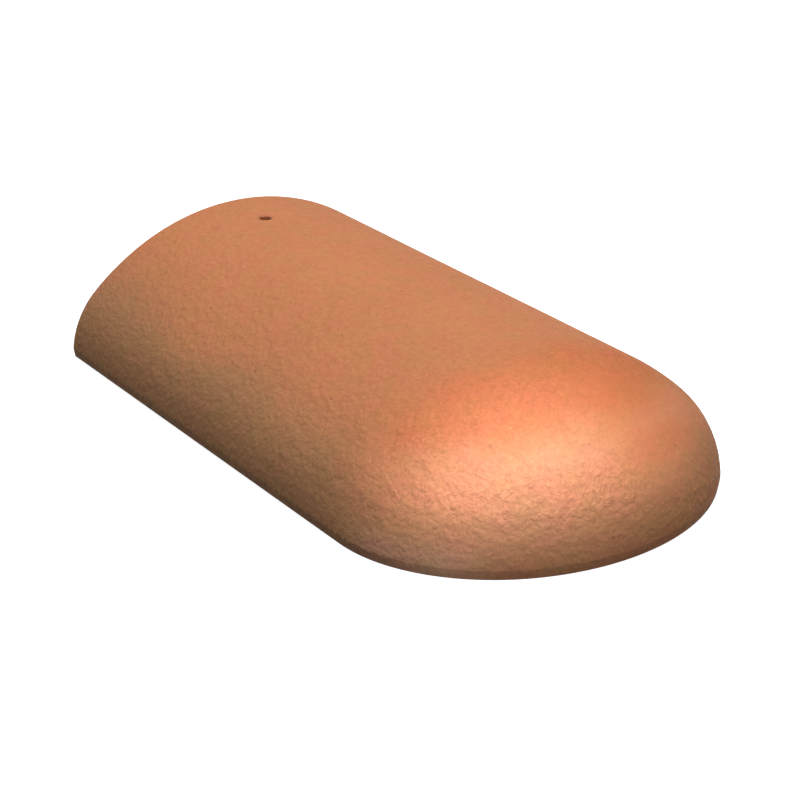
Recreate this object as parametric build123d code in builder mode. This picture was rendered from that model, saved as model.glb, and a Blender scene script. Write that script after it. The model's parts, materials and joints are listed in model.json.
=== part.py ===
from build123d import *

import os
from math import atan2, degrees, sqrt

# Hip starter tile: the closed end piece that begins the hip of a clay tiled roof.
# It is pressed and fired as one thin shell: a straight barrel of arched section, a
# rounded nose that closes the low end, and a head left open for the next hip tile.
# Frame: +X runs down the hip towards the nose, +Z is up, and the origin lies on the
# plane the tile stands on, at the middle of its length and width. Millimetres.

# Overall form, outside
tile_length = 420.0
tile_width = 250.0
tile_height = 83.5
nose_length = 106.0

# Arched section: a haunch arc on each side, centred at foot level, runs into one wide crown arc
haunch_radius = 57.0

# Trimmed band round the foot, leaning in towards its bottom edge
foot_band_height = 6.0
foot_band_undercut = 1.0

# Shell
wall = 13.0
rim_round = 2.0

# Nail hole through the crown, near the head
nail_hole_diameter = 8.0
nail_hole_setback = 44.0

# Places along the tile
head_x = -tile_length / 2
nose_start_x = tile_length / 2 - nose_length
nail_hole_x = head_x + nail_hole_setback

# Centres of the section's arcs, and the angle above level at which the arcs meet
band_top_y = tile_width / 2
haunch_y = band_top_y - sqrt(haunch_radius**2 - foot_band_height**2)
crown_radius = (haunch_y**2 + tile_height**2 - haunch_radius**2) / (2 * (tile_height - haunch_radius))
crown_z = tile_height - crown_radius
band_top_angle = degrees(atan2(foot_band_height, band_top_y - haunch_y))
meeting_angle = degrees(atan2(-crown_z, haunch_y))

# Right half of the outside: base, foot band, haunch arc, crown arc, middle line
with BuildSketch() as outside_half:
    with BuildLine():
        Polyline((0, 0), (band_top_y - foot_band_undercut, 0), (band_top_y, foot_band_height))
        CenterArc((haunch_y, 0), haunch_radius, band_top_angle, meeting_angle - band_top_angle)
        CenterArc((0, crown_z), crown_radius, meeting_angle, 90 - meeting_angle)
        Line((0, tile_height), (0, 0))
    make_face()

# Right half of the hollow: both arcs one wall further in, on the same centres
hollow_side_y = haunch_y + haunch_radius - wall
with BuildSketch() as hollow_half:
    with BuildLine():
        Line((0, 0), (hollow_side_y, 0))
        CenterArc((haunch_y, 0), haunch_radius - wall, 0, meeting_angle)
        CenterArc((0, crown_z), crown_radius - wall, meeting_angle, 90 - meeting_angle)
        Line((0, tile_height - wall), (0, 0))
    make_face()


def closed_barrel(half_section, start_x, half_width, nose_reach):
    """A straight barrel from start_x to the nose's start, closed by a rounded nose: the half
    section turned about an upright axis, then squeezed along the tile to nose_reach."""
    with BuildPart() as nose:
        with BuildSketch(Plane.YZ):
            add(half_section)
        revolve(axis=-Axis.Z, revolution_arc=180)
        scale(by=(nose_reach / half_width, 1, 1))
    with BuildPart() as form:
        with BuildSketch(Plane.YZ.offset(start_x)):
            add(half_section)
            mirror(about=Plane.YZ)
        extrude(amount=nose_start_x - start_x)
        with Locations((nose_start_x, 0, 0)):
            add(nose.part)
    return form.part


outside = closed_barrel(outside_half.sketch, head_x, band_top_y, nose_length)
hollow = closed_barrel(hollow_half.sketch, head_x - wall, hollow_side_y, nose_length - wall)

# The fired shell, its head rim softened and its crown holed for the nail
with BuildPart() as hip_starter_tile:
    add(outside)
    add(hollow, mode=Mode.SUBTRACT)
    head_edges = hip_starter_tile.faces().sort_by(Axis.X)[0].edges()
    fillet(head_edges - head_edges.group_by(Axis.Z)[0], radius=rim_round)
    with Locations((nail_hole_x, 0)):
        Hole(nail_hole_diameter / 2)

hip_starter_tile.part.label = "hip_starter_tile"

os.makedirs("parts", exist_ok=True)
export_step(hip_starter_tile.part, "parts/hip_starter_tile.step")
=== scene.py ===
import json
import math

import bpy
from mathutils import Matrix, Vector


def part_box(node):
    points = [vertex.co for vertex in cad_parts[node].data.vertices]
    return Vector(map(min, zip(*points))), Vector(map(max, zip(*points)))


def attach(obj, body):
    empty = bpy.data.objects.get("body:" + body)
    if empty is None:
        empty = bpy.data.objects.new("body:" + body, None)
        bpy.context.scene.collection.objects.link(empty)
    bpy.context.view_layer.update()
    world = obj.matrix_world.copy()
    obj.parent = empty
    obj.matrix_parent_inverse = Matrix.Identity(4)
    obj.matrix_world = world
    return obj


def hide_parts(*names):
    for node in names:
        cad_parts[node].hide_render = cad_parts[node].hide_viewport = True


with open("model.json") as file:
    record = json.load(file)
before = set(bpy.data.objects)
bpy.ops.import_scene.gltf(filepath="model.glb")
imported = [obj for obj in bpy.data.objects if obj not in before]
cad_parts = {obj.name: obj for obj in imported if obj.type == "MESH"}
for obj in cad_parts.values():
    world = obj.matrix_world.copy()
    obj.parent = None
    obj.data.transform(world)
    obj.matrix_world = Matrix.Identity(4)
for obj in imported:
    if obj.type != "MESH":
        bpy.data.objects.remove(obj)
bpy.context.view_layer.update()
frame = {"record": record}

QUARTER_TURN = math.pi / 2

# Camera: degrees round the tile and above the floor, then metres
CAMERA_TURN = 54.567
CAMERA_RISE = 24.963
CAMERA_DISTANCE = 1.25
CAMERA_SIDEWAYS = -0.007375
CAMERA_UPWARDS = 0.0125
SENSOR_WIDTH_MM = 36
LENS_MM = 91.18

# Lamps: degrees, metres and watts
TILE_MIDDLE = (0, 0, 0.04)
NOSE_AIM = (0.1694, -0.0375, 0.0579)
NOSE_SIDE_AIM = (0.1630, -0.0575, 0.0551)
SOFTBOX_DISTANCE = 1.6
SOFTBOX_SIDE = 0.5
NOSE_LIGHT_DISTANCE = 1.3
NOSE_LIGHT_TURN = -20
NOSE_LIGHT_RISE = 55
NOSE_LIGHT_OVAL = 1.7
COOL_WHITE = (0.86, 1.0, 1.42)
SKY_COLOUR = (0.87, 1.0, 1.04, 1)
SKY_STRENGTH = 0.291

# Floor: the radius and height of each ring, in metres
FLOOR_RINGS = [(0.6, 0.0), (2.0, 0.0), (5.0, 0.0), (8.0, 0.15), (12.0, 0.9), (18.0, 3.0)]
FLOOR_SIDES = 96

# Sizes of the tile, in metres
low_corner, high_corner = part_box("hip_starter_tile")
nail_mount = next(mount for mount in frame["record"]["mounts"] if mount["name"] == "nail_hole")
TILE_SIZES = {
    "Length": high_corner.x - low_corner.x,
    "Width": high_corner.y - low_corner.y,
    "Height": high_corner.z - low_corner.z,
    "Nose Length": 0.106,
    "Haunch Radius": 0.057,
    "Foot Band Height": 0.006,
    "Foot Band Undercut": 0.001,
    "Foot Edge Round": 0.0008,
    "Wall": 0.013,
    "Rim Round": 0.002,
    "Nail Hole Radius": nail_mount["dims"]["r_mm"] / 1000,
    "Nail Hole Place": nail_mount["pos_m"][0],
    "Nail Hole Lip": 0.0006,
    "Mesh Spacing": 0.0021,
    "Warp Depth": 0.0004,
    "Dimple Depth": 0.00015,
    "Seed": 3.0,
}

# How the shell is woven
WELD_DISTANCE = 1e-6
BAND_SUPPORT_TURN = 0.02
FOOT_ROUND_POINTS = 3
HEAD_FACE_POINTS = 3
HEAD_ROUND_POINTS = 6
NAIL_HOLE_SIDES = 56
CRISP_TURN = math.radians(32)

# Colours of the fired clay, and of the painted light and shade in its colour
# Painted shade: the lower flanks and the foot of the nose, darker and browner
PAINTED_SHADE_FLANK_BROWN = (0.540, 0.247, 0.115)
PAINTED_SHADE_NOSE_BROWN = (0.575, 0.240, 0.112)
ORANGE = (0.690, 0.252, 0.110)
NOSE_ORANGE = (0.710, 0.262, 0.122)
# Painted highlight: the paler core of the highlight near the end of the nose
PAINTED_HIGHLIGHT_PALE = (0.715, 0.290, 0.143)
# Painted highlight: the redder ring round the highlight on the nose
PAINTED_HIGHLIGHT_RED = (0.650, 0.195, 0.075)
# Painted light: paler low on the shoulders of the nose
PAINTED_BOUNCE_LIGHT = (0.77, 0.39, 0.23)
# The foot band's darker colour, partly painted shade
BAND_BROWN_AND_SHADE = (0.21, 0.095, 0.052)
DARK_FLECK = (0.30, 0.115, 0.058)
PALE_FLECK = (0.72, 0.36, 0.20)
HOLLOW_DUST = (0.66, 0.32, 0.17)
GREEN_BLOTCH = (0.982, 1.024, 0.976)
RED_BLOTCH = (1.018, 0.976, 1.024)

# Stretches of the tile with a look of their own, in metres along or up it: where each starts,
# is full, is last full and ends
# Where the painted light low on the nose's shoulders lies
SHOULDER_ALONG = (0.095, 0.135, 0.165, 0.192)
RED_RISE_ALONG = (0.095, 0.118, 0.130, 0.150)
# Where the painted shade on the shoulders of the nose lies
PAINTED_SHADE_ALONG = (0.058, 0.092, 0.120, 0.150)
PAINTED_SHADE_UP = (0.014, 0.028, 0.050, 0.066)
# The belt of coarser skin under the highlight, which also paints its glints into the colour
COARSE_AND_GLINT_BELT_UP = (0.022, 0.034, 0.046, 0.058)
BUMP_DEPTH = 0.0012


def place_camera():
    """The camera looks down on the nose and the near flank."""
    turn = math.radians(CAMERA_TURN)
    rise = math.radians(CAMERA_RISE)
    level = math.cos(rise)
    back = Vector((math.sin(turn) * level, -math.cos(turn) * level, math.sin(rise)))
    right = Vector((math.cos(turn), math.sin(turn), 0))
    up = back.cross(right)
    lens = bpy.data.cameras.new("product camera")
    lens.sensor_width = SENSOR_WIDTH_MM
    lens.lens = LENS_MM
    camera = bpy.data.objects.new("product camera", lens)
    bpy.context.scene.collection.objects.link(camera)
    place = CAMERA_DISTANCE * back + CAMERA_SIDEWAYS * right + CAMERA_UPWARDS * up
    axes = Matrix((right, up, back)).transposed().to_4x4()
    camera.matrix_world = Matrix.Translation(place) @ axes
    bpy.context.scene.camera = camera


# Helpers for writing node trees
class Amount:
    """A number or a point inside a node tree, so that the tree's sums read as sums."""

    def __init__(self, tree, socket):
        self.tree = tree
        self.socket = socket

    def work(self, operation, *others):
        """One Math node, fed with this amount first."""
        return maths(self.tree, operation, self, *others)

    def __add__(self, other):
        return self.work("ADD", other)

    def __sub__(self, other):
        return self.work("SUBTRACT", other)

    def __rsub__(self, other):
        return maths(self.tree, "SUBTRACT", other, self)

    def __mul__(self, other):
        return self.work("MULTIPLY", other)

    def __truediv__(self, other):
        return self.work("DIVIDE", other)

    def __neg__(self):
        return self.work("MULTIPLY", -1.0)


def feed(tree, socket, value):
    """Give an input socket an amount from the tree, or a plain value."""
    if isinstance(value, Amount):
        tree.links.new(value.socket, socket)
    else:
        socket.default_value = value


def add_node(tree, kind, inputs=None, output=0, **settings):
    """One node with its settings and inputs; inputs go by name, or by number where names repeat."""
    node = tree.nodes.new(kind)
    for name, value in settings.items():
        setattr(node, name, value)
    for name, value in (inputs or {}).items():
        feed(tree, node.inputs[name], value)
    return Amount(tree, node.outputs[output])


def maths(tree, operation, *values):
    return add_node(tree, "ShaderNodeMath", dict(enumerate(values)), operation=operation)


def point(tree, x, y, z):
    return add_node(tree, "ShaderNodeCombineXYZ", {0: x, 1: y, 2: z})


def parts_of(tree, vector):
    """The x, y and z of a point."""
    split = tree.nodes.new("ShaderNodeSeparateXYZ")
    feed(tree, split.inputs[0], vector)
    return [Amount(tree, socket) for socket in split.outputs]


def both(tree, operation, first, second):
    """Two points or colours, added or multiplied part by part."""
    return add_node(tree, "ShaderNodeVectorMath", {0: first, 1: second}, operation=operation)


def scaled(tree, vector, factor):
    """A point or colour times a number."""
    inputs = {0: vector, "Scale": factor}
    return add_node(tree, "ShaderNodeVectorMath", inputs, operation="SCALE")


def mixed(tree, first, second, share):
    """Two points or colours mixed: the first at share 0, the second at share 1."""
    inputs = {0: share, 4: first, 5: second}
    return add_node(tree, "ShaderNodeMix", inputs, output=1, data_type="VECTOR")


def noise(tree, place, scale, detail, output=0, **inputs):
    inputs = {"Vector": place, "Scale": scale, "Detail": detail, **inputs}
    return add_node(tree, "ShaderNodeTexNoise", inputs, output=output)


def smooth_step(tree, value, low, high):
    """0 before low and 1 past high, with a smooth rise between them, whichever is larger."""
    inputs = {"Value": value, "From Min": low, "From Max": high}
    return add_node(tree, "ShaderNodeMapRange", inputs, interpolation_type="SMOOTHSTEP")


def stretch(tree, value, start, full, last_full, end):
    """1 along one stretch of a value and 0 outside it, with soft ends."""
    return smooth_step(tree, value, start, full) * smooth_step(tree, value, end, last_full)


# Helpers for the lines that the shell is woven from
def own_place(tree):
    return add_node(tree, "GeometryNodeInputPosition")


def moved_to(tree, geometry, position):
    return add_node(tree, "GeometryNodeSetPosition", {"Geometry": geometry, "Position": position})


def joined(tree, pieces):
    """Several pieces of geometry as one."""
    join = tree.nodes.new("GeometryNodeJoinGeometry")
    for piece in pieces:
        tree.links.new(piece.socket, join.inputs[0])
    return Amount(tree, join.outputs[0])


def welded(tree, geometry):
    inputs = {"Geometry": geometry, "Distance": WELD_DISTANCE}
    return add_node(tree, "GeometryNodeMergeByDistance", inputs)


def one_line(tree, curves):
    """Curves that meet end to end, as one unbroken line of points."""
    mesh = add_node(tree, "GeometryNodeCurveToMesh", {"Curve": joined(tree, curves)})
    return add_node(tree, "GeometryNodeMeshToCurve", {"Mesh": welded(tree, mesh)})


def straight_line(tree, start, end, count):
    line = add_node(tree, "GeometryNodeCurvePrimitiveLine", {"Start": start, "End": end})
    inputs = {"Curve": line, "Count": count}
    return add_node(tree, "GeometryNodeResampleCurve", inputs, mode="COUNT")


def plain_arc(tree, count, radius, start, end):
    """An arc about the origin, in the plane of x and y."""
    inputs = {
        "Resolution": count,
        "Radius": radius,
        "Start Angle": start,
        "Sweep Angle": end - start,
    }
    return add_node(tree, "GeometryNodeCurveArc", inputs, mode="RADIUS")


def point_count(tree, line):
    kind = "GeometryNodeAttributeDomainSize"
    return add_node(tree, kind, {"Geometry": line}, component="CURVE")


def point_at(tree, line, index):
    """Where a line's point of that number lies."""
    inputs = {"Geometry": line, "Value": own_place(tree), "Index": index}
    return add_node(tree, "GeometryNodeSampleIndex", inputs, data_type="FLOAT_VECTOR")


class Section:
    """The tile's cross-section, right half: x is the distance from the middle, y the height and
    z the reach, which is how far ahead of the nose's start that part of the section ends."""

    def __init__(self, tree, size):
        self.tree = tree
        self.size = size
        haunch = size["Haunch Radius"]
        band = size["Foot Band Height"]
        height = size["Height"]
        self.half_width = size["Width"] * 0.5
        band_in = (haunch * haunch - band * band).work("SQRT")
        self.haunch_across = self.half_width - band_in
        squares = self.haunch_across * self.haunch_across + height * height - haunch * haunch
        self.crown_radius = squares / ((height - haunch) * 2.0)
        self.crown_up = height - self.crown_radius
        self.band_top_angle = band.work("ARCTAN2", band_in)
        self.meeting_angle = (-self.crown_up).work("ARCTAN2", self.haunch_across)
        self.hollow_half_width = self.haunch_across + haunch - size["Wall"]
        self.outer_reach = size["Nose Length"] / self.half_width
        self.hollow_reach = (size["Nose Length"] - size["Wall"]) / self.hollow_half_width

    def arc(self, count, radius, start, end, across, up, reach):
        """An arc of the section about the centre (across, up)."""
        tree = self.tree
        arc = plain_arc(tree, count, radius, start, end)
        x, y, _ = parts_of(tree, own_place(tree))
        out = x + across
        return moved_to(tree, arc, point(tree, out, y + up, out * reach))

    def crown_arc(self, count, inset, reach):
        radius = self.crown_radius - inset
        start = self.meeting_angle
        return self.arc(count, radius, start, QUARTER_TURN, 0.0, self.crown_up, reach)

    def haunch_arc(self, count, inset, start, reach):
        radius = self.size["Haunch Radius"] - inset
        end = self.meeting_angle
        return self.arc(count, radius, start, end, self.haunch_across, 0.0, reach)

    def haunch_point(self, inset, angle, reach):
        radius = self.size["Haunch Radius"] - inset
        out = radius * angle.work("COSINE") + self.haunch_across
        return point(self.tree, out, radius * angle.work("SINE"), out * reach)

    def foot(self, support_angle):
        """Down the foot band, under the foot and up inside the hollow, with softened corners."""
        tree = self.tree
        wall = self.size["Wall"]
        foot_out = self.half_width - self.size["Foot Band Undercut"]
        hollow_out = self.hollow_half_width
        corners = [
            self.haunch_point(0.0, support_angle, self.outer_reach),
            self.haunch_point(0.0, self.band_top_angle, self.outer_reach),
            point(tree, foot_out, 0.0, foot_out * self.outer_reach),
            point(tree, hollow_out, 0.0, hollow_out * self.hollow_reach),
            self.haunch_point(wall, self.band_top_angle, self.hollow_reach),
            self.haunch_point(wall, support_angle, self.hollow_reach),
        ]
        switch = tree.nodes.new("GeometryNodeIndexSwitch")
        switch.data_type = "VECTOR"
        while len(switch.index_switch_items) < len(corners):
            switch.index_switch_items.new()
        feed(tree, switch.inputs[0], add_node(tree, "GeometryNodeInputIndex"))
        for number, corner in enumerate(corners, start=1):
            feed(tree, switch.inputs[number], corner)
        row = add_node(tree, "GeometryNodeMeshLine", {"Count": len(corners)})
        row = moved_to(tree, row, Amount(tree, switch.outputs[0]))
        inputs = {
            "Curve": add_node(tree, "GeometryNodeMeshToCurve", {"Mesh": row}),
            "Count": FOOT_ROUND_POINTS,
            "Radius": self.size["Foot Edge Round"],
            "Limit Radius": True,
        }
        return add_node(tree, "GeometryNodeFilletCurve", inputs, mode="POLY")

    def line(self):
        """From the hollow's crown out and down, round the foot, and up to the outer crown."""
        size = self.size
        spacing = size["Mesh Spacing"]
        support_angle = self.band_top_angle + BAND_SUPPORT_TURN
        crown_sweep = QUARTER_TURN - self.meeting_angle
        haunch_sweep = self.meeting_angle - support_angle
        crown_count = (self.crown_radius * crown_sweep / spacing).work("CEIL")
        haunch_count = (size["Haunch Radius"] * haunch_sweep / spacing).work("CEIL")
        lines = [self.foot(support_angle)]
        for inset, reach in ((0.0, self.outer_reach), (size["Wall"], self.hollow_reach)):
            lines.append(self.crown_arc(crown_count, inset, reach))
            lines.append(self.haunch_arc(haunch_count, inset, support_angle, reach))
        return one_line(self.tree, lines)


def run_of_the_tile(tree, size, head_x, nose_start_x):
    """The run from the head rim to the nose tip: x is the place along the tile, y the turn
    round the nose from -1 at its side to 0 at its tip, and z how far the rim is drawn in."""
    rim = size["Rim Round"]
    spacing = size["Mesh Spacing"]
    x, y, _ = parts_of(tree, own_place(tree))
    face_start = point(tree, head_x, -1.0, size["Wall"] * 0.5)
    face_end = point(tree, head_x, -1.0, rim)
    face = straight_line(tree, face_start, face_end, HEAD_FACE_POINTS)
    rounding = plain_arc(tree, HEAD_ROUND_POINTS, rim, math.pi, 1.5 * math.pi)
    rounding = moved_to(tree, rounding, point(tree, x + head_x + rim, -1.0, y + rim))
    barrel_x = head_x + rim
    barrel_rows = ((nose_start_x - barrel_x) / spacing).work("CEIL")
    barrel_start = point(tree, barrel_x, -1.0, 0.0)
    barrel_end = point(tree, nose_start_x, -1.0, 0.0)
    barrel = straight_line(tree, barrel_start, barrel_end, barrel_rows)
    nose_run = (size["Width"] * 0.5 + size["Nose Length"]) * 0.5 * QUARTER_TURN
    turn = plain_arc(tree, (nose_run / spacing).work("CEIL"), 1.0, -QUARTER_TURN, 0.0)
    turn = moved_to(tree, turn, point(tree, x + nose_start_x, y, 0.0))
    return one_line(tree, [face, rounding, barrel, turn])


def half_shell(tree, size):
    """The right half of the fired shell: section lines set out along the run of the tile."""
    head_x = size["Length"] * -0.5
    nose_start_x = size["Length"] * 0.5 - size["Nose Length"]
    section = Section(tree, size).line()
    run = run_of_the_tile(tree, size, head_x, nose_start_x)
    columns = point_count(tree, section)
    rows = point_count(tree, run)
    grid = add_node(tree, "GeometryNodeMeshGrid", {"Vertices X": rows, "Vertices Y": columns})
    index = add_node(tree, "GeometryNodeInputIndex")
    row = ((index + 0.5) / columns).work("FLOOR")
    column = index - row * columns
    near_side = point_at(tree, section, column)
    far_side = point_at(tree, section, columns - 1.0 - column)
    along, turn, inset = parts_of(tree, point_at(tree, run, row))
    out, up, reach = parts_of(tree, mixed(tree, near_side, far_side, inset / size["Wall"]))
    ahead = (along - nose_start_x).work("MAXIMUM", 0.0)
    place = point(tree, along.work("MINIMUM", nose_start_x) + reach * ahead, out * turn, up)
    grid = moved_to(tree, grid, place)

    # 1 on the outside, 0 in the hollow; the foot lies halfway along the section
    outside = smooth_step(tree, column / columns, 0.47, 0.5)
    kind = "GeometryNodeStoreNamedAttribute"
    inputs = {"Geometry": grid, "Name": "outer side", "Value": outside}
    return add_node(tree, kind, inputs, data_type="FLOAT", domain="POINT")


def warped(tree, shell, size):
    """The slight warp and the shallow dimples of fired clay, fading out at the foot."""
    place = own_place(tree)
    clear_of_foot = smooth_step(tree, parts_of(tree, place)[2], 0.006, 0.016)
    shifted = both(tree, "ADD", place, point(tree, size["Seed"], 0.0, 0.0))
    warp = (noise(tree, shifted, 14.0, 1.0) - 0.6) * size["Warp Depth"]
    dimples = (noise(tree, shifted, 150.0, 1.0) - 0.6) * size["Dimple Depth"]
    depth = (warp + dimples) * clear_of_foot
    offset = scaled(tree, add_node(tree, "GeometryNodeInputNormal"), depth)
    return add_node(tree, "GeometryNodeSetPosition", {"Geometry": shell, "Offset": offset})


def drilled(tree, shell, size):
    """The nail hole: its drill opens out at 45 degrees above the depth of the lip."""
    hole = size["Nail Hole Radius"]
    inputs = {
        "Vertices": NAIL_HOLE_SIDES,
        "Side Segments": 2,
        "Radius": hole,
        "Depth": size["Height"],
    }
    drill = add_node(tree, "GeometryNodeMeshCylinder", inputs)
    x, y, z = parts_of(tree, own_place(tree))
    widened = z.work("MAXIMUM", 0.0) / hole + 1.0
    drill = moved_to(tree, drill, point(tree, x * widened, y * widened, z))
    lip_z = size["Height"] - size["Nail Hole Lip"]
    inputs = {
        "Geometry": drill,
        "Translation": point(tree, size["Nail Hole Place"], 0.0, lip_z),
        "Rotation": (0, 0, math.pi / NAIL_HOLE_SIDES),
    }
    drill = add_node(tree, "GeometryNodeTransform", inputs)
    cut = tree.nodes.new("GeometryNodeMeshBoolean")
    cut.operation = "DIFFERENCE"
    cut.solver = "MANIFOLD"
    feed(tree, cut.inputs["Mesh 1"], shell)
    feed(tree, cut.inputs["Mesh 2"], drill)
    return Amount(tree, cut.outputs[0])


def smoothed(tree, shell):
    """Smooth all over, but crisp where the hole and the foot turn sharply."""
    crisp = add_node(tree, "GeometryNodeInputMeshEdgeAngle").work("GREATER_THAN", CRISP_TURN)
    inputs = {"Geometry": shell, "Shade Smooth": True}
    shell = add_node(tree, "GeometryNodeSetShadeSmooth", inputs)
    inputs = {"Geometry": shell, "Selection": crisp, "Shade Smooth": False}
    return add_node(tree, "GeometryNodeSetShadeSmooth", inputs, domain="EDGE")


def shell_tree():
    """The whole tile as one closed shell, by rule from its named sizes."""
    tree = bpy.data.node_groups.new("fired clay shell", "GeometryNodeTree")
    for name in TILE_SIZES:
        tree.interface.new_socket(name=name, in_out="INPUT", socket_type="NodeSocketFloat")
    tree.interface.new_socket(name="Material", in_out="INPUT", socket_type="NodeSocketMaterial")
    tree.interface.new_socket(name="Geometry", in_out="OUTPUT", socket_type="NodeSocketGeometry")
    entry = tree.nodes.new("NodeGroupInput")
    size = {socket.name: Amount(tree, socket) for socket in entry.outputs if socket.name}

    half = half_shell(tree, size)
    inputs = {"Geometry": half, "Scale": (1, -1, 1)}
    other_half = add_node(tree, "GeometryNodeTransform", inputs)
    half = add_node(tree, "GeometryNodeFlipFaces", {"Mesh": half})
    shell = welded(tree, joined(tree, [half, other_half]))
    shell = smoothed(tree, drilled(tree, warped(tree, shell, size), size))
    shell = add_node(tree, "GeometryNodeRealizeInstances", {"Geometry": shell})
    inputs = {"Geometry": shell, "Material": size["Material"]}
    shell = add_node(tree, "GeometryNodeSetMaterial", inputs)
    exit_node = tree.nodes.new("NodeGroupOutput")
    tree.links.new(shell.socket, exit_node.inputs["Geometry"])
    return tree


def made_by_rule(name, tree, values):
    """Runs a geometry tree once and keeps its result as a plain mesh."""
    piece = bpy.data.objects.new(name, bpy.data.meshes.new(name + " seed"))
    bpy.context.scene.collection.objects.link(piece)
    modifier = piece.modifiers.new("rule", "NODES")
    modifier.node_group = tree
    for item in tree.interface.items_tree:
        if item.in_out == "INPUT":
            modifier[item.identifier] = values[item.name]
    depsgraph = bpy.context.evaluated_depsgraph_get()
    mesh = bpy.data.meshes.new_from_object(piece.evaluated_get(depsgraph), depsgraph=depsgraph)
    mesh.name = name
    while mesh.materials[0] is None:
        mesh.materials.pop(index=0)
    piece.modifiers.remove(modifier)
    piece.data = mesh
    return piece


def grain_of_the_clay(tree, place):
    """The patterns of the skin: dents, wrinkles left by the press, the gaps between grains of
    sand under a thin skin of clay, and fine creases."""
    push = scaled(tree, noise(tree, place, 224.0, 1.0, output=1), 0.0028)
    inputs = {"Vector": both(tree, "ADD", place, push), "Scale": 280.0, "Smoothness": 0.3}
    gaps = add_node(tree, "ShaderNodeTexVoronoi", inputs, feature="SMOOTH_F1")
    dents = noise(tree, place, 128.0, 2.0)
    wrinkles = noise(tree, place, 255.0, 1.0, Distortion=1.2)
    off_line = (noise(tree, place, 230.0, 1.0, Distortion=0.9) - 0.5).work("ABSOLUTE")
    creases = smooth_step(tree, off_line, 0.075, 0.0)
    return dents, wrinkles, gaps, creases


def flecks(tree, place, scale, shift, radius, rarity):
    """Small round flecks: 1 inside one, 0 elsewhere; the higher the rarity, the fewer of them."""
    cells = tree.nodes.new("ShaderNodeTexVoronoi")
    feed(tree, cells.inputs["Vector"], both(tree, "ADD", place, (shift, 0, 0)))
    cells.inputs["Scale"].default_value = scale
    distance = Amount(tree, cells.outputs["Distance"])
    chance = parts_of(tree, Amount(tree, cells.outputs["Color"]))[0]
    inside = smooth_step(tree, distance, radius * 1.6, radius * 0.7)
    return inside * chance.work("GREATER_THAN", rarity)


def clay_colour_with_painted_light(tree, place, clouds, nose, left):
    """The clay's orange with painted light in it: painted shade, browner towards the foot; a
    painted highlight, redder over the nose and paler where the nose ends.
    """
    along, _, up = parts_of(tree, place)
    lift = clouds * 0.012 + up - 0.006
    end = smooth_step(tree, along, 0.160, 0.182)
    # Painted shade: darker and browner towards the foot, where the flanks turn away from the light
    painted_foot_shade = mixed(tree, PAINTED_SHADE_FLANK_BROWN, PAINTED_SHADE_NOSE_BROWN, nose)
    above_foot = mixed(tree, ORANGE, NOSE_ORANGE, smooth_step(tree, along, 0.130, 0.160))
    # Painted highlight: paler on the near side of the nose's end, where the nose lamps' pool is
    # brightest
    painted_highlight_core = end * (1.0 - left) * smooth_step(tree, up, 0.044, 0.056)
    above_foot = mixed(tree, above_foot, PAINTED_HIGHLIGHT_PALE, painted_highlight_core)
    lift_at_end = nose * 0.012 + lift - end * 0.007
    clear_of_foot = smooth_step(tree, lift_at_end, 0.030, 0.064)
    colour = mixed(tree, painted_foot_shade, above_foot, clear_of_foot)
    # Painted highlight: redder high on the nose round the highlight, and on the far side of its end
    red_rise = stretch(tree, along, *RED_RISE_ALONG)
    painted_highlight_ring = nose * smooth_step(tree, red_rise * 0.007 + lift, 0.052, 0.070)
    painted_far_glow = end * left * smooth_step(tree, up, 0.034, 0.046) * 0.45
    colour = mixed(tree, colour, PAINTED_HIGHLIGHT_RED, painted_highlight_ring.work("MAXIMUM", painted_far_glow))

    # Painted light: paler low on the shoulders of the nose
    painted_bounce_share = stretch(tree, along, *SHOULDER_ALONG) * smooth_step(tree, up, 0.026, 0.004)
    colour = mixed(tree, colour, PAINTED_BOUNCE_LIGHT, painted_bounce_share * 0.66)

    # The trimmed band round the foot is darker: partly a face that fired darker, partly painted
    # shade under the crease above it; it has a ragged edge, and fades out at the tip
    rag = (noise(tree, place, 320.0, 2.0) - 0.5) * 0.009
    fading = 0.55 - smooth_step(tree, along, 0.120, 0.175) * 0.54
    band = smooth_step(tree, up + rag, 0.0070, 0.0056) * (clouds * 0.3 + 0.7) * fading
    return mixed(tree, colour, BAND_BROWN_AND_SHADE, band)


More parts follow.
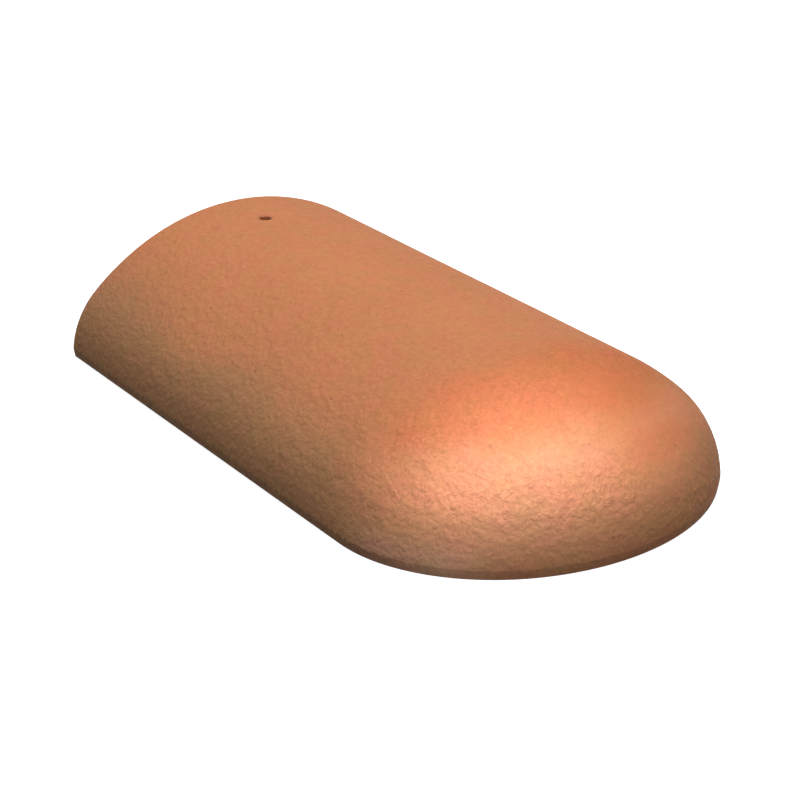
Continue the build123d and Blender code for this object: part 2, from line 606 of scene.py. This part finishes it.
def fired_clay():
    """Unglazed orange-brown clay: mottled, flecked, finely wrinkled, with a soft sheen, and with
    painted light and shade in its colour.
    """
    material = bpy.data.materials.new("fired clay")
    material.use_nodes = True
    tree = material.node_tree
    tree.nodes.clear()
    place = add_node(tree, "ShaderNodeTexCoord", output=3)
    along, across, up = parts_of(tree, place)
    dents, wrinkles, gaps, creases = grain_of_the_clay(tree, place)
    clouds = smooth_step(tree, noise(tree, place, 16.0, 2.0), 0.25, 0.75)
    nose = smooth_step(tree, clouds * 0.02 + along - 0.010, 0.070, 0.130)
    left = smooth_step(tree, across, -0.015, 0.025)

    # How coarse the skin is: less so low down and left of the nose, more so in a belt on its right
    # under the highlight; the belt is coarser in relief, and in the colour its stronger contrast is
    # painted glints of the highlight
    tip = smooth_step(tree, along, 0.120, 0.155)
    low = smooth_step(tree, up, 0.050, 0.012)
    coarse = 1.0 - low * 0.34 - tip * left * (1.0 - low) * 0.5
    coarse = coarse + tip * (1.0 - left) * stretch(tree, up, *COARSE_AND_GLINT_BELT_UP) * 0.35

    # Colour with painted light and shade in it, blotched all over, with painted shade in the pits
    # and creases of the clay and on the shoulders of the nose
    colour = clay_colour_with_painted_light(tree, place, clouds, nose, left)
    patches = smooth_step(tree, noise(tree, place, 60.0, 2.0), 0.35, 0.65)
    blotches = mixed(tree, GREEN_BLOTCH, RED_BLOTCH, patches)
    colour = both(tree, "MULTIPLY", colour, blotches)
    # Painted shade in the pits: the colour follows the relief, darker in the gaps between sand
    # grains and in the creases, the creases darker still on the nose
    grain_and_pit_shade = dents * 0.10 + wrinkles * 0.10 - gaps * 0.10 - 0.06
    grain_and_pit_shade = grain_and_pit_shade - (creases - 0.35) * (nose * 0.11 + 0.02)
    # Painted shade: darker on the shoulders of the nose, where the nose lamps' light falls off
    painted_shade_patch = stretch(tree, along, *PAINTED_SHADE_ALONG) * stretch(tree, up, *PAINTED_SHADE_UP)
    shade = clouds * 0.05 + grain_and_pit_shade * coarse + 0.99 - painted_shade_patch * 0.085
    colour = scaled(tree, colour, shade)
    dark_flecks = flecks(tree, place, 130.0, 0.0, 0.10, 0.90)
    pale_flecks = flecks(tree, place, 105.0, 7.0, 0.09, 0.92)
    colour = mixed(tree, colour, DARK_FLECK, dark_flecks * 0.55)
    colour = mixed(tree, colour, PALE_FLECK, pale_flecks * 0.5)

    # In the hollow: a dusty, coarser face with faint lines where the press was drawn out
    outside = add_node(tree, "ShaderNodeAttribute", output=2, attribute_name="outer side")
    hollow = 1.0 - outside
    drawn_lines = noise(tree, point(tree, along * 0.05, across, up), 260.0, 2.0) * hollow
    coarse_grain = noise(tree, place, 420.0, 2.0) * hollow
    colour = mixed(tree, colour, HOLLOW_DUST, drawn_lines * 0.12 + hollow * 0.06)

    relief = dents * 0.80 + wrinkles * 0.25 - gaps * 0.34 - creases * 0.07 - dark_flecks * 0.1
    relief = relief * coarse + drawn_lines * 0.55 + coarse_grain * 0.5
    inputs = {"Height": relief, "Strength": 1.0, "Distance": BUMP_DEPTH}
    bump = add_node(tree, "ShaderNodeBump", inputs)
    clay = tree.nodes.new("ShaderNodeBsdfPrincipled")
    clay.inputs["Specular IOR Level"].default_value = 0.15
    feed(tree, clay.inputs["Base Color"], colour)
    feed(tree, clay.inputs["Roughness"], gaps * 0.15 + 0.66)
    feed(tree, clay.inputs["Normal"], bump)
    out = tree.nodes.new("ShaderNodeOutputMaterial")
    tree.links.new(clay.outputs[0], out.inputs["Surface"])
    return material


def floor_white():
    """White to look at, dim as a bounce of light."""
    material = bpy.data.materials.new("pale floor")
    material.use_nodes = True
    tree = material.node_tree
    tree.nodes.clear()
    rays = tree.nodes.new("ShaderNodeLightPath")
    seen = Amount(tree, rays.outputs["Is Camera Ray"])
    for ray in ("Is Glossy Ray", "Is Transmission Ray"):
        seen = seen.work("MAXIMUM", Amount(tree, rays.outputs[ray]))
    white = add_node(tree, "ShaderNodeBsdfDiffuse", {"Color": (0.75, 0.75, 0.75, 1)})
    glow = add_node(tree, "ShaderNodeEmission", {"Color": (1, 1, 1, 1), "Strength": 0.84})
    lit = add_node(tree, "ShaderNodeAddShader", {0: white, 1: glow})
    dim = add_node(tree, "ShaderNodeBsdfDiffuse", {"Color": (0.1, 0.1, 0.1, 1)})
    surface = add_node(tree, "ShaderNodeMixShader", {0: seen, 1: dim, 2: lit})
    out = tree.nodes.new("ShaderNodeOutputMaterial")
    tree.links.new(surface.socket, out.inputs["Surface"])
    return material


def pale_floor():
    """A level floor with a gently rising edge far away."""
    corners = [(0, 0, 0)]
    for radius, height in FLOOR_RINGS:
        for side in range(FLOOR_SIDES):
            angle = 2 * math.pi * side / FLOOR_SIDES
            corners.append((radius * math.cos(angle), radius * math.sin(angle), height))
    faces = []
    for side in range(FLOOR_SIDES):
        after = (side + 1) % FLOOR_SIDES
        faces.append((0, 1 + side, 1 + after))
        for ring in range(len(FLOOR_RINGS) - 1):
            inner = 1 + ring * FLOOR_SIDES
            outer = inner + FLOOR_SIDES
            faces.append((inner + side, outer + side, outer + after, inner + after))
    mesh = bpy.data.meshes.new("floor")
    mesh.from_pydata(corners, [], faces)
    mesh.materials.append(floor_white())
    floor = bpy.data.objects.new("floor", mesh)
    bpy.context.scene.collection.objects.link(floor)
    return floor


def hang_lamp(lamp, aim, turn, rise, distance, oval=1.0):
    """Hangs a lamp away from its aim and turns it to face it, its long side across the tile."""
    turn = math.radians(turn)
    rise = math.radians(rise)
    level = math.cos(rise)
    way = Vector((level * math.cos(turn), level * math.sin(turn), math.sin(rise)))
    place = Vector(aim) + distance * way
    back = (place - Vector(aim)).normalized()
    across = Vector((0.15, 1, 0))
    right = (across - back * back.dot(across)).normalized()
    axes = Matrix((right, back.cross(right), back)).transposed().to_4x4()
    holder = bpy.data.objects.new(lamp.name, lamp)
    bpy.context.scene.collection.objects.link(holder)
    holder.matrix_world = Matrix.Translation(place) @ axes @ Matrix.Diagonal((oval, 1, 1, 1))


def softbox(name, turn, rise, watts):
    """A square soft lamp above the tile."""
    lamp = bpy.data.lights.new(name, "AREA")
    lamp.shape = "SQUARE"
    lamp.size = SOFTBOX_SIDE
    lamp.energy = watts
    hang_lamp(lamp, TILE_MIDDLE, turn, rise, SOFTBOX_DISTANCE)


def nose_light(name, aim, cone, watts, colour=(1, 1, 1)):
    """A soft oval pool of light on the nose."""
    lamp = bpy.data.lights.new(name, "SPOT")
    lamp.spot_size = math.radians(cone)
    lamp.spot_blend = 1
    lamp.shadow_soft_size = 0.04
    lamp.energy = watts
    lamp.color = colour
    hang_lamp(lamp, aim, NOSE_LIGHT_TURN, NOSE_LIGHT_RISE, NOSE_LIGHT_DISTANCE, NOSE_LIGHT_OVAL)


def light_the_studio():
    world = bpy.data.worlds.new("studio")
    world.use_nodes = True
    sky = world.node_tree.nodes["Background"]
    sky.inputs["Color"].default_value = SKY_COLOUR
    sky.inputs["Strength"].default_value = SKY_STRENGTH
    bpy.context.scene.world = world
    softbox("overhead", 0, 89, 13.7)
    softbox("back", 30, 70, 3.3)
    nose_light("nose wide", NOSE_AIM, 6, 37.0)
    nose_light("nose narrow", NOSE_SIDE_AIM, 4, 48.0, COOL_WHITE)


place_camera()
tile = made_by_rule("tile_shell", shell_tree(), {**TILE_SIZES, "Material": fired_clay()})
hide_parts("hip_starter_tile")
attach(tile, "root")
pale_floor()
light_the_studio()
bpy.context.scene.view_settings.view_transform = "Standard"
